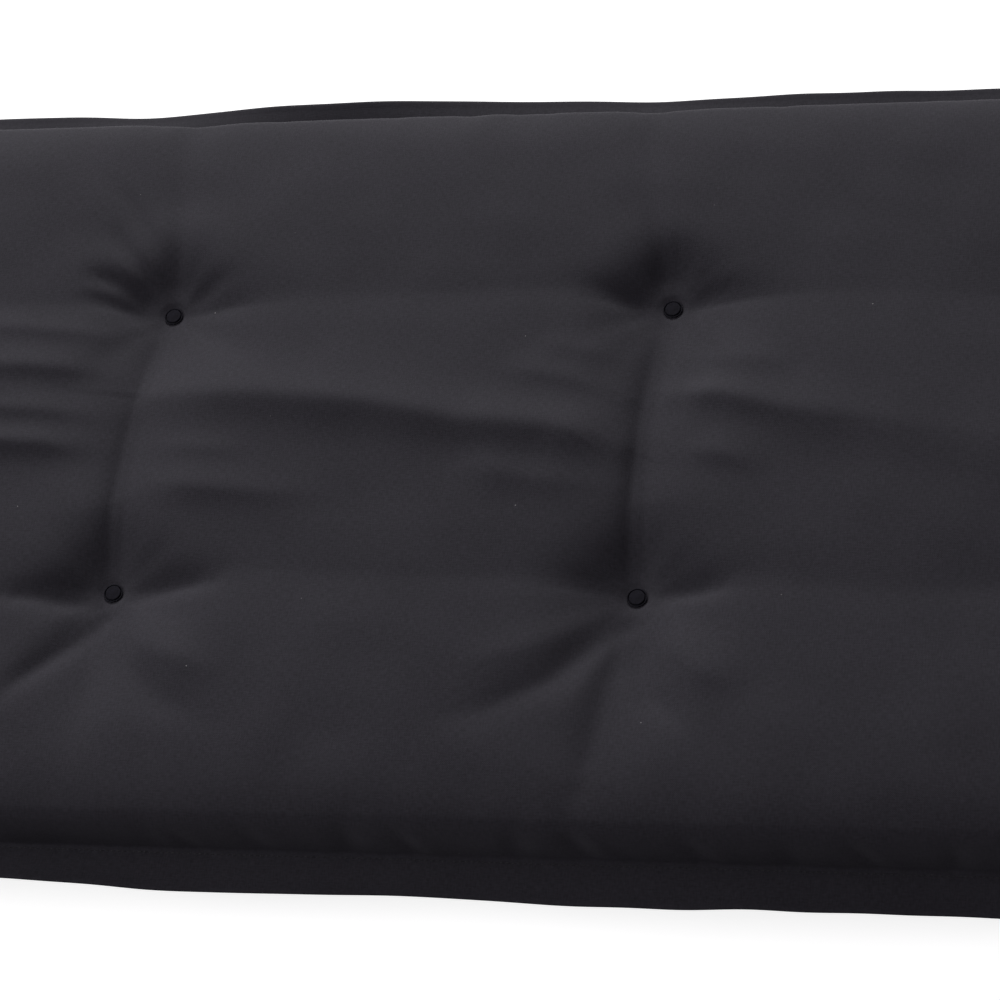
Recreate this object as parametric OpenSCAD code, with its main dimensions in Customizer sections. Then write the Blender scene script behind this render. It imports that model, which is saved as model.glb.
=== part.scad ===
// Slim futon mattress: a flanged cover over wadding and a foam core, tied through by covered buttons.
// Origin: centre of the footprint, on the floor. +X runs along the length, +Z up. Millimetres.

/* [Mattress] */
// Overall length, flange included
pad_l = 2000; // [1900:50:2200]
// Overall width, flange included
pad_w = 700; // [660:10:900]
// Loft at the crown, from the floor to the highest point
pad_h = 90; // [86:1:100]
// Height of the flange plane, where the two cover panels meet
seam_z = 38; // [36:1:40]
// Width of the flat flange outside the body
flange_w = 30; // [20:1:40]
// Thickness of one cover panel
cover_t = 1.2; // [0.8:0.1:2]

/* [Filling] */
// Thickness of the foam core
core_t = 44; // [30:1:46]
// Depth of wadding between the core's edge and the cover
side_wadding = 14; // [12:1:30]
// Radius of the core's upright corners
core_corner_r = 22; // [12:1:40]

/* [Tufts] */
// Number of tuft columns along the length
columns = 5; // [3:1:5]
// Distance between tuft columns
column_pitch = 400; // [340:10:400]
// Distance between the front and rear tuft rows
row_pitch = 250; // [200:10:280]
// Height of the upper button seats above the flange plane
tuft_rise = 28; // [26:1:32]
// Height of the lower button seats above the floor
tuft_recess = 8; // [6:1:10]
// Diameter of a covered button
button_d = 15; // [14:1:18]

/* [Hidden] */
fabric = "#38363c";
button_fabric = "#2b292e";
wadding = "#e9e6dd";
foam = "#e8d79a";
twine = "#d9d2c0";
thread = "#232126";
zinc = "#b9bcc0";

// The body inside the flange seam
half_l = pad_l / 2 - flange_w;
half_w = pad_w / 2 - flange_w;

// Side rolls: width in plan and fullness of the curve, above and below the flange
top_roll = 34;
top_fullness = 2.4;
under_roll = 40;
under_fullness = 2;

// Rise of the upper panel above the flange, at the side rolls and at the crown
edge_rise = pad_h - seam_z - cover_t - 6;
crown_rise = 6;
// How far the lower panel would bulge past the floor if nothing flattened it
under_bulge = 8;

// A tuft draws its panel to a flat seat, and the pull fades with distance
seat_half = 9;
seat_r = seat_half * sqrt(2) + 0.01;
top_fade = 36;
under_fade = 15;
// The two tufts of a column share a shallow valley
valley_pull = 0.4;
valley_fade = 26;

// Covered button, measured from its seat
button_h = 4.2;
button_wall = 0.8;
rim_r = 1.1;
back_d = button_d - 4;
back_t = 1;
back_z = 0.2;
eye_r = 2.6;
wire_r = 0.6;
eye_hole_d = 8;

// Tufting twine: a closed loop through the eyes of two buttons, with its knot
twine_r = 0.8;
bend_r = twine_r + wire_r + 0.05;
knot_r = 2.5;
knot_z = 10;
core_hole_d = 6;

// Lock-stitch thread along the flange, just outside the body
thread_w = 0.8;
thread_h = 0.5;
thread_out = 2.5;

top_seat_z = seam_z + tuft_rise;
under_seat_z = tuft_recess;
core_l = 2 * (half_l - cover_t - side_wadding);
core_w = 2 * (half_w - cover_t - side_wadding);

row_names = ["front", "rear"];
row_y = [-row_pitch / 2, row_pitch / 2];
column_x = [for (i = [0 : columns - 1]) (i - (columns - 1) / 2) * column_pitch];
tufts = [for (i = [0 : columns - 1], j = [0, 1]) [column_x[i], row_y[j]]];
tuft_names = [for (i = [0 : columns - 1], j = [0, 1]) str(row_names[j], "_", i + 1)];

// Grid lines of the soft layers: close together up the side rolls and round the tufts
cover_steps = [0, 1.5, 6, 16, top_roll];
batt_steps = [1.5, 6, 16, top_roll];
seat_steps = [-80, -30, -seat_half, seat_half, 30, 80];
function backwards(list) = [for (i = [len(list) - 1 : -1 : 0]) list[i]];
function body_lines(half, centres, steps, mid) = concat(
    [for (s = steps) s - half],
    [for (i = [0 : len(centres) - 1]) each concat(
        i > 0 && mid > 0 ? [centres[i] - mid] : [],
        [for (s = seat_steps) centres[i] + s])],
    [for (s = backwards(steps)) half - s]);
function with_flange(lines) = concat([lines[0] - flange_w], lines, [flange_w - lines[0]]);
cover_x = with_flange(body_lines(half_l, column_x, cover_steps, column_pitch / 2));
cover_y = with_flange(body_lines(half_w, row_y, cover_steps, 0));
batt_x = body_lines(half_l, column_x, batt_steps, 0);
batt_y = body_lines(half_w, row_y, batt_steps, 0);

// Share of the full rise at distance d inside the seam: 0 at the seam, 1 past the roll
function roll(d, width, fullness) =
    d <= 0 ? 0 : d >= width ? 1 : pow(1 - pow(1 - d / width, fullness), 1 / fullness);
function swell(p, width, fullness) =
    roll(half_l - abs(p.x), width, fullness) * roll(half_w - abs(p.y), width, fullness);

// Share of the way that the tufts draw the panel to their seats: 1 on a seat
function tuft_pull(p, fade) =
    let (r = min([for (t = tufts) norm([p.x, p.y] - t)]))
    r <= seat_r ? 1 : exp((seat_r - r) / fade);
function valley(p) =
    let (dx = min([for (c = column_x) abs(p.x - c)]), dy = max(0, abs(p.y) - row_pitch / 2))
    valley_pull * exp(-norm([dx, dy]) / valley_fade);

// Rise of the crown: highest along the middle, and between the tuft columns
function crown(p) =
    edge_rise + crown_rise * sqrt(cos(90 * min(1, abs(p.y) / half_w)))
    * (0.7 - 0.3 * cos(360 * (p.x - column_x[0]) / column_pitch));

// Height of the outer face of each panel: flat on the flange, filled and drawn down inside it
function in_body(p) = abs(p.x) < half_l && abs(p.y) < half_w;
function top_z(p) =
    let (full = seam_z + cover_t + crown(p) * swell(p, top_roll, top_fullness),
         drawn = 1 - (1 - tuft_pull(p, top_fade)) * (1 - valley(p)))
    in_body(p) ? full + (top_seat_z - full) * drawn : seam_z + cover_t;
function under_z(p) =
    let (flat = seam_z - cover_t,
         full = flat - (flat + under_bulge) * swell(p, under_roll, under_fullness),
         drawn = full + (under_seat_z - full) * tuft_pull(p, under_fade))
    in_body(p) ? max(0, drawn) : flat;

// Sheets of points, and the lining of a cover, one thickness inside it
function inset(v, half) = abs(v) > half ? v : v * (half - cover_t) / half;
function top_sheet(xs, ys) = [for (x = xs, y = ys) [x, y, top_z([x, y])]];
function under_sheet(xs, ys) = [for (x = xs, y = ys) [x, y, under_z([x, y])]];
function lining(sheet, dz) = [for (p = sheet) [inset(p.x, half_l), inset(p.y, half_w), p.z + dz]];
function level(sheet, z) = [for (p = sheet) [p.x, p.y, z]];

// Triangles over a sheet of nx by ny points, and the indices round its border
function sheet_faces(nx, ny) = [for (i = [0 : nx - 2], j = [0 : ny - 2])
    let (a = i * ny + j, b = a + ny) each [[a, a + 1, b], [a + 1, b + 1, b]]];
function border(nx, ny) = concat(
    [for (i = [0 : nx - 2]) i * ny],
    [for (j = [0 : ny - 2]) (nx - 1) * ny + j],
    [for (i = [nx - 1 : -1 : 1]) i * ny + ny - 1],
    [for (j = [ny - 1 : -1 : 1]) j]);

// A soft layer: everything between an upper and a lower sheet of nx by ny points
module layer(upper, lower, nx, ny) {
    n = nx * ny;
    edge = border(nx, ny);
    m = len(edge);
    polyhedron(concat(upper, lower), concat(
        sheet_faces(nx, ny),
        [for (f = sheet_faces(nx, ny)) [f[0] + n, f[2] + n, f[1] + n]],
        [for (k = [0 : m - 1]) let (a = edge[k], b = edge[(k + 1) % m]) [a, b, b + n, a + n]]));
}

module each_tuft() {
    for (t = tufts) translate([t.x, t.y, 0]) children();
}

module tuft_holes(d) {
    each_tuft() translate([0, 0, -1]) cylinder(d = d, h = pad_h + 2, $fn = 48);
}

module top_cover() {
    outside = top_sheet(cover_x, cover_y);
    color(fabric) difference() {
        layer(outside, lining(outside, -cover_t), len(cover_x), len(cover_y));
        tuft_holes(eye_hole_d);
    }
}

module under_cover() {
    outside = under_sheet(cover_x, cover_y);
    color(fabric) difference() {
        layer(lining(outside, cover_t), outside, len(cover_x), len(cover_y));
        tuft_holes(eye_hole_d);
    }
}

module rounded_plate(l, w, r) {
    for (sx = [-1, 1], sy = [-1, 1])
        translate([sx * (l / 2 - r), sy * (w / 2 - r)]) circle(r, $fn = 64);
    square([l - 2 * r, w], center = true);
    square([l, w - 2 * r], center = true);
}

module core_slab() {
    translate([0, 0, seam_z - core_t / 2])
        linear_extrude(core_t) rounded_plate(core_l, core_w, core_corner_r);
}

module foam_core() {
    color(foam) difference() {
        core_slab();
        tuft_holes(core_hole_d);
    }
}

module upper_wadding() {
    crown_side = lining(top_sheet(batt_x, batt_y), -cover_t);
    color(wadding) difference() {
        layer(crown_side, level(crown_side, seam_z), len(batt_x), len(batt_y));
        core_slab();
        tuft_holes(eye_hole_d);
    }
}

module lower_wadding() {
    floor_side = lining(under_sheet(batt_x, batt_y), cover_t);
    color(wadding) difference() {
        layer(level(floor_side, seam_z), floor_side, len(batt_x), len(batt_y));
        core_slab();
        tuft_holes(eye_hole_d);
    }
}

// One closed line of thread on each face of the flange
module flange_stitching() {
    l = 2 * (half_l + thread_out);
    w = 2 * (half_w + thread_out);
    color(thread)
        for (z = [seam_z + cover_t, seam_z - cover_t - thread_h])
            translate([0, 0, z]) linear_extrude(thread_h) difference() {
                square([l + thread_w, w + thread_w], center = true);
                square([l - thread_w, w - thread_w], center = true);
            }
}

// Covered button on its seat: a domed shell whose edge turns in under the rim
module covered_button() {
    r = button_d / 2;
    chord = r - rim_r / 2;
    edge_z = 1.8 * rim_r;
    dome_r = (chord * chord + pow(button_h - edge_z, 2)) / (2 * (button_h - edge_z));
    color(button_fabric) rotate_extrude($fn = 64) difference() {
        union() {
            intersection() {
                translate([0, button_h - dome_r]) circle(dome_r, $fn = 128);
                translate([0, rim_r]) square([chord, button_h]);
            }
            translate([r - rim_r, rim_r]) circle(rim_r, $fn = 32);
            square([r - rim_r, rim_r]);
        }
        intersection() {
            translate([0, button_h - dome_r]) circle(dome_r - button_wall, $fn = 128);
            translate([0, -1]) square([back_d / 2, button_h + 1]);
        }
        square([back_d / 2, rim_r]);
    }
}

// Back plate pressed into the button, with a wire eye hanging from it
module button_back() {
    color(zinc) translate([0, 0, back_z]) {
        cylinder(d = back_d, h = back_t, $fn = 64);
        translate([0, 0, 0.05]) rotate([-90, 0, 0])
            rotate_extrude(angle = 180, $fn = 48) translate([eye_r, 0]) circle(wire_r, $fn = 24);
    }
}

// Closed loop of twine round the wires of both eyes
module tuft_twine() {
    eye_drop = eye_r - back_z - 0.05;
    top_z = top_seat_z - eye_drop;
    low_z = under_seat_z + eye_drop;
    color(twine) {
        for (side = [-1, 1])
            translate([0, side * bend_r, low_z]) cylinder(r = twine_r, h = top_z - low_z, $fn = 24);
        translate([0, 0, top_z]) twine_bend();
        translate([0, 0, low_z]) mirror([0, 0, 1]) twine_bend();
        translate([0, 0, low_z + knot_z]) sphere(knot_r, $fn = 32);
    }
}

module twine_bend() {
    rotate([90, 0, 90])
        rotate_extrude(angle = 180, $fn = 48) translate([bend_r, 0]) circle(twine_r, $fn = 24);
}

top_cover();
under_cover();
flange_stitching();
upper_wadding();
lower_wadding();
foam_core();
each_tuft() translate([0, 0, top_seat_z]) button_back();  // top_button_backs
each_tuft() translate([0, 0, under_seat_z]) mirror([0, 0, 1]) button_back();  // under_button_backs
for (i = [0 : len(tufts) - 1]) translate([tufts[i].x, tufts[i].y, 0]) {
    translate([0, 0, top_seat_z]) covered_button();
    translate([0, 0, under_seat_z]) mirror([0, 0, 1]) covered_button();
    tuft_twine();
}
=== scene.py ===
"""A slim charcoal futon mattress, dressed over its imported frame.

Shapes are worked out in millimetres as whole numpy arrays, and put into the meshes in metres.
"""

import logging
import math
from dataclasses import dataclass, field
from enum import Enum

import bpy
import numpy as np
from mathutils import Matrix, Vector


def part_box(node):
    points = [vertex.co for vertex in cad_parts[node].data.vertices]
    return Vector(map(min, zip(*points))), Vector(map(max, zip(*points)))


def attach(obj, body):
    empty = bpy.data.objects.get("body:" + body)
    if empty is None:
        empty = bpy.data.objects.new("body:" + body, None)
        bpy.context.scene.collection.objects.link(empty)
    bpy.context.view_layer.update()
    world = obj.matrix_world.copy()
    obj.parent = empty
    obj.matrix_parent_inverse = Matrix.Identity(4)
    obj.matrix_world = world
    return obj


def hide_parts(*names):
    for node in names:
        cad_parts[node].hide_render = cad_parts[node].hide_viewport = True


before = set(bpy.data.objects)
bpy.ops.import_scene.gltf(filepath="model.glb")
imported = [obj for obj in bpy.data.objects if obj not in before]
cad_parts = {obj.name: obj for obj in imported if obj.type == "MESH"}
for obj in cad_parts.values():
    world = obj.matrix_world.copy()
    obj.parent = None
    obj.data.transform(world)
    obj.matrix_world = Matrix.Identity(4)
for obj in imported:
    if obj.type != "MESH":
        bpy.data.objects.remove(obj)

LOG = logging.getLogger("mattress")
MM = 0.001
# Distance in millimetres from the body to the outer side of the stitch line.
STITCH_EDGE = 2.9
Array = np.ndarray
Point = tuple[float, float]


class Side(Enum):
    """The two faces of the mattress."""

    TOP = 1
    UNDER = -1


# ---------------------------------------------------------------------------------------------
# Small numeric tools
# ---------------------------------------------------------------------------------------------


def smooth_step(t: Array) -> Array:
    """Eases from 0 to 1 as t does: 3t squared less 2t cubed, held flat outside."""
    t = np.clip(t, 0.0, 1.0)
    return t * t * (3.0 - 2.0 * t)


def soft_max(value: Array, floor: float, ease: float) -> Array:
    """The larger of value and floor, with the corner rounded over about ease millimetres."""
    over = value - floor
    return floor + 0.5 * (over + np.sqrt(over * over + ease * ease))


def drift(x: Array, y: Array, wavelength: float, seed: int, waves: int = 20) -> Array:
    """Smooth unevenness: a sum of cosines of random direction, phase and length, scaled to unit spread.

    Args:
        x: Places along the mattress, in millimetres.
        y: Places across it.
        wavelength: The usual distance between swellings.
        seed: Fixes the random choice.
        waves: How many cosines are summed.

    Returns:
        One value for each place, mostly between -1.5 and 1.5.
    """
    rng = np.random.default_rng(seed)
    heading = rng.uniform(0.0, math.pi, waves)
    number = 2.0 * math.pi / (wavelength * rng.uniform(0.7, 1.7, waves))
    phase = rng.uniform(0.0, 2.0 * math.pi, waves)
    total = np.zeros(np.broadcast(x, y).shape)
    for h, k, p in zip(heading, number, phase):
        total += np.cos(k * (math.cos(h) * x + math.sin(h) * y) + p)
    return total * math.sqrt(2.0 / waves)


def roll_share(depth: Array, width: float, fullness: float) -> Array:
    """Share of the full rise at a depth inside the seam: a quarter of a superellipse, then 1."""
    left = 1.0 - np.clip(depth / width, 0.0, 1.0)
    return (1.0 - left**fullness) ** (1.0 / fullness)


# ---------------------------------------------------------------------------------------------
# The form of the pad
# ---------------------------------------------------------------------------------------------


@dataclass(frozen=True)
class PadSizes:
    """The mattress's sizes in millimetres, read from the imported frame."""

    half_l: float
    half_w: float
    flange: float
    seam_z: float
    crown_z: float
    columns: tuple[float, ...]
    row: float
    top_seat: float
    under_seat: float
    core_low: tuple[float, float, float]
    core_high: tuple[float, float, float]

    @classmethod
    def from_frame(cls) -> "PadSizes":
        """Reads the sizes from the CAD nodes' boxes, the body's from the stitch line round it."""
        low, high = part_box("top_cover")
        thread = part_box("flange_stitching")[1]
        half_l, half_w = thread[0] / MM - STITCH_EDGE, thread[1] / MM - STITCH_EDGE
        fronts = [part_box(f"top_button_front_{i}") for i in range(1, 6)]
        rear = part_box("top_button_rear_1")
        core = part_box("foam_core")
        return cls(
            half_l=half_l,
            half_w=half_w,
            flange=high[0] / MM - half_l,
            seam_z=low[2] / MM,
            crown_z=high[2] / MM,
            columns=tuple((a[0] + b[0]) / 2 / MM for a, b in fronts),
            row=(rear[0][1] + rear[1][1]) / 2 / MM,
            top_seat=rear[0][2] / MM,
            under_seat=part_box("under_button_rear_1")[1][2] / MM,
            core_low=tuple(v / MM for v in core[0]),
            core_high=tuple(v / MM for v in core[1]),
        )

    @property
    def pitch(self) -> float:
        """Distance between neighbouring tuft columns."""
        return self.columns[1] - self.columns[0]

    def tufts(self) -> list[Point]:
        """Centres of the ten tufts."""
        return [(x, y) for x in self.columns for y in (-self.row, self.row)]


@dataclass(frozen=True)
class Fold:
    """One fold of the cloth: a ridge, or a groove where the height is negative.

    The route is smoothed into a curve. Across it the height falls off from a tight crest, between
    an exponential and a bell, as taut cloth does from the line that pulls it, and along it the
    height eases from `start` and `end` shares at the ends up to its full value. `lean` widens the
    side on the left of the route, and narrows the other. `taper` widens the fold towards its end.
    """

    route: tuple[Point, ...]
    height: float
    width: float
    start: float = 0.0
    end: float = 0.0
    lean: float = 0.0
    taper: float = 0.0
    ease: tuple[float, float] = (0.35, 0.45)

    def curve(self) -> Array:
        """Points every 3 mm or so along a smooth curve through the route."""
        knots = np.array(self.route, dtype=float)
        gaps = np.linalg.norm(np.diff(knots, axis=0), axis=1)
        at = np.concatenate([[0.0], np.cumsum(gaps)])
        fine = np.linspace(0.0, at[-1], max(8, int(at[-1] / 3.0)))
        line = np.column_stack([np.interp(fine, at, knots[:, k]) for k in (0, 1)])
        for _ in range(4 if len(knots) > 2 else 0):
            line[1:-1] = (line[:-2] + 2.0 * line[1:-1] + line[2:]) / 4.0
        return line

    def relief(self, x: Array, y: Array) -> Array:
        """Height that the fold adds at each place.

        Args:
            x: Places along the mattress, in millimetres.
            y: Places across it.

        Returns:
            The added height, 0 away from the fold.
        """
        line = self.curve()
        reach = 3.6 * self.width * (1.0 + abs(self.lean)) * (1.0 + abs(self.taper))
        near = (
            (x > line[:, 0].min() - reach) & (x < line[:, 0].max() + reach)
            & (y > line[:, 1].min() - reach) & (y < line[:, 1].max() + reach)
        )
        added = np.zeros(x.shape)
        if not near.any():
            return added
        px, py = x[near], y[near]
        away = (px[:, None] - line[None, :, 0]) ** 2 + (py[:, None] - line[None, :, 1]) ** 2
        closest = away.argmin(axis=1)
        gap = np.sqrt(away[np.arange(len(px)), closest])
        tangent = np.gradient(line, axis=0)[closest]
        offset = np.column_stack([px, py]) - line[closest]
        left = tangent[:, 0] * offset[:, 1] - tangent[:, 1] * offset[:, 0] > 0.0
        share = closest / (len(line) - 1.0)
        width = self.width * np.where(left, 1.0 + self.lean, 1.0 - self.lean)
        width = width * (1.0 + self.taper * (2.0 * share - 1.0))
        ease_in = self.start + (1.0 - self.start) * smooth_step(share / self.ease[0])
        ease_out = self.end + (1.0 - self.end) * smooth_step((1.0 - share) / self.ease[1])
        fall = np.exp(-(((np.sqrt(gap * gap + 4.0) - 2.0) / width) ** 1.4))
        added[near] = self.height * ease_in * ease_out * fall
        return added


# Folds of the top panel round the two middle columns. Each route runs in millimetres on the row's X and Y.
PLACED_FOLDS: tuple[Fold, ...] = (
    # creases that sweep out of the rear tuft at -400
    Fold(((-405, 125), (-430, 140), (-455, 150), (-485, 160)), -4.5, 8, start=0.7),
    Fold(((-410, 120), (-450, 130), (-485, 135)), -2.5, 7, start=0.5),
    Fold(((-410, 135), (-430, 160), (-450, 185), (-465, 210)), -2.5, 7, start=0.8),
    Fold(((-390, 130), (-370, 145), (-340, 160)), -2.0, 8, start=0.9, ease=(0.1, 0.95)),
    Fold(((-400, 140), (-420, 180), (-445, 220), (-485, 260)), -2.0, 8, start=0.8),
    Fold(((-400, 140), (-405, 200), (-410, 260)), -2.5, 12, start=0.9),
    Fold(((-405, 180), (-410, 240), (-415, 315)), -3.0, 22, start=0.2, end=1.0),
    # the rear tuft at 0: a fan, with one crease up to the crest
    Fold(((10, 125), (30, 135), (65, 140)), -2.0, 8, start=0.9, ease=(0.1, 0.95)),
    Fold(((-10, 120), (-40, 130), (-70, 140), (-100, 145)), -2.5, 10, start=0.8, ease=(0.1, 0.95)),
    Fold(((-5, 135), (-10, 165), (-20, 200), (-25, 250)), -4.0, 11, start=0.9, ease=(0.2, 0.95)),
    Fold(((-5, 140), (-20, 200), (-30, 270), (-30, 315)), -2.5, 20, end=1.0, ease=(0.8, 0.2)),
    # long folds between the columns
    Fold(((-395, 40), (-310, 35), (-215, 25), (-145, 10), (-80, 5), (-25, -10)), 8.5, 24,
         start=0.7, end=0.4, lean=0.1, taper=-0.1, ease=(0.2, 0.12)),
    Fold(((-390, -40), (-340, -45), (-290, -50), (-210, -50)), 4.0, 15, start=0.2, lean=0.2,
         ease=(0.25, 0.7)),
    Fold(((-385, -5), (-350, -10), (-300, -15)), 1.5, 9, start=0.3),
    Fold(((-125, 60), (-70, 50), (-25, 35)), 2.0, 11, start=0.2, end=0.3, lean=0.2),
    Fold(((-100, 85), (-60, 75), (-25, 70)), 1.5, 11, end=0.2),
    Fold(((-150, -25), (-80, -40), (-25, -45)), 3.0, 16, end=0.3),
    # right of the column at 0
    Fold(((15, 40), (50, 35), (100, 20), (170, 10), (250, -5)), 6.5, 21, start=0.4, end=0.2, lean=0.1,
         taper=0.4, ease=(0.12, 0.8)),
    Fold(((20, 75), (50, 70), (110, 60)), 2.0, 13, start=0.3),
    Fold(((20, -10), (50, -15), (95, -30)), 3.0, 12, start=0.2, lean=0.2, ease=(0.4, 0.6)),
    # left of the -400 column
    Fold(((-560, 105), (-500, 100), (-425, 95)), 2.5, 10, start=0.6, end=0.1, lean=0.2),
    Fold(((-560, 65), (-500, 65), (-425, 60)), 4.0, 12, start=0.6, end=0.1, lean=0.2),
    Fold(((-560, 25), (-490, 25), (-425, 20)), 3.5, 11, start=0.5, end=0.1, lean=0.2),
    Fold(((-560, -5), (-490, -5), (-425, -10)), 5.0, 12, start=0.8, end=0.1, lean=0.2),
    # the swag between the front tufts
    Fold(((-390, -150), (-375, -190), (-345, -220), (-300, -240), (-255, -245)), -3.0, 14, start=0.4,
         ease=(0.3, 0.6)),
    Fold(((-390, -150), (-355, -180), (-285, -205)), 3.5, 15, start=0.3),
    Fold(((-150, -240), (-95, -225), (-50, -200), (-10, -155)), -4.0, 13, end=0.8, ease=(0.6, 0.3)),
    Fold(((-255, -245), (-205, -250), (-150, -240)), -1.0, 24),
    Fold(((-130, -195), (-65, -175), (-10, -140)), 2.0, 15, end=0.4),
    # out of the front tuft at 0
    Fold(((5, -150), (10, -185), (20, -210), (55, -245)), -3.5, 10, start=0.5),
    Fold(((15, -155), (50, -190), (95, -210)), 3.0, 14, start=0.4),
    Fold(((-5, -150), (-10, -190), (-20, -285)), -3.0, 12, start=0.4, end=0.6, ease=(0.35, 0.2)),
    Fold(((10, -125), (40, -125), (80, -120)), -2.5, 8, start=0.8),
    # out of the front tuft at -400
    Fold(((-400, -150), (-425, -180), (-455, -210), (-475, -240)), -4.0, 9, start=0.6),
    Fold(((-410, -135), (-450, -135), (-505, -140)), -3.5, 8, start=0.7),
    Fold(((-390, -130), (-345, -125), (-295, -120)), -3.0, 8, start=0.8),
)


# Waves of the flange's edge along the front and the rear: place on X, lift, and width, in millimetres.
FRONT_WAVES: tuple[tuple[float, float, float], ...] = (
    (-450, 11.0, 85), (-300, -2.0, 70), (-70, -6.0, 110), (250, -6.0, 90),
)
REAR_WAVES: tuple[tuple[float, float, float], ...] = (
    (-470, -5.0, 60), (-300, 10.0, 100), (-40, -2.0, 60), (120, 2.0, 70),
)


def scattered_folds(sizes: PadSizes, seed: int) -> list[Fold]:
    """Folds for the parts of the top panel that have no placed ones.

    Args:
        sizes: The mattress's sizes.
        seed: Fixes the random choice.

    Returns:
        Creases out of each other tuft, and lengthwise folds beside each other column.
    """
    rng = np.random.default_rng(seed)
    folds: list[Fold] = []
    for column in sizes.columns:
        placed = -450.0 < column < 50.0
        for row in (-sizes.row, sizes.row):
            if placed:
                continue
            for k in range(5):
                angle = math.radians(36 + 72 * k + rng.uniform(-24, 24))
                reach, turn = rng.uniform(55, 105), rng.uniform(-0.5, 0.5)
                route = tuple(
                    (column + r * math.cos(angle + turn * r / reach),
                     row + r * math.sin(angle + turn * r / reach))
                    for r in (9.0, 0.4 * reach, 0.7 * reach, reach)
                )
                folds.append(Fold(route, rng.uniform(-5.5, -2.5), rng.uniform(9, 13), start=0.7))
        for side in (-1, 1):
            if placed or (column > 0.0 and side < 0 and column < 450.0):
                continue
            for k in range(5):
                y = -80.0 + 38.0 * k + rng.uniform(-10, 10)
                length, slope = rng.uniform(70, 190), rng.uniform(-0.18, 0.18)
                route = tuple(
                    (column + side * (18 + length * s), y + slope * length * s + rng.uniform(-4, 4))
                    for s in (0.0, 0.35, 0.7, 1.0)
                )
                folds.append(Fold(route[:: side], rng.uniform(2.0, 4.5), rng.uniform(10, 15),
                                  start=0.3, lean=0.3))
    return folds


@dataclass(frozen=True)
class Gathers:
    """Puckers where the cloth is gathered into the flange seam, all round one panel."""

    seed: int
    spacing: float = 50.0
    depth: float = 3.6
    reach: float = 22.0

    def relief(self, along: Array, up: Array, half: float, seed_step: int) -> Array:
        """Depth of the puckers of one side.

        Each pucker is a bell across the cloth that leans to one side and fades up the wall.

        Args:
            along: Places along the side, in millimetres.
            up: Distance up the cloth from the seam.
            half: Half the side's length.
            seed_step: Tells this side's puckers from the others'.

        Returns:
            Height added along the surface's normal.
        """
        rng = np.random.default_rng(self.seed + seed_step)
        count = int(2 * half / self.spacing)
        at = np.linspace(-half, half, count) + rng.uniform(-0.34, 0.34, count) * self.spacing
        added = np.zeros(along.shape)
        for place in at:
            lean, width = rng.uniform(-0.9, 0.2), rng.uniform(7.0, 12.0)
            depth = self.depth * rng.uniform(0.2, 1.2)
            reach = self.reach * rng.uniform(0.7, 1.4)
            near = np.abs(along - place) < 70.0
            offset = along[near] - place - lean * up[near]
            fade = np.exp(-((up[near] / reach) ** 2))
            added[near] -= depth * fade * np.exp(-((offset / width) ** 2))
            added[near] += 0.3 * depth * fade * np.exp(-(((offset - 2.0 * width) / width) ** 2))
        return added


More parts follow.
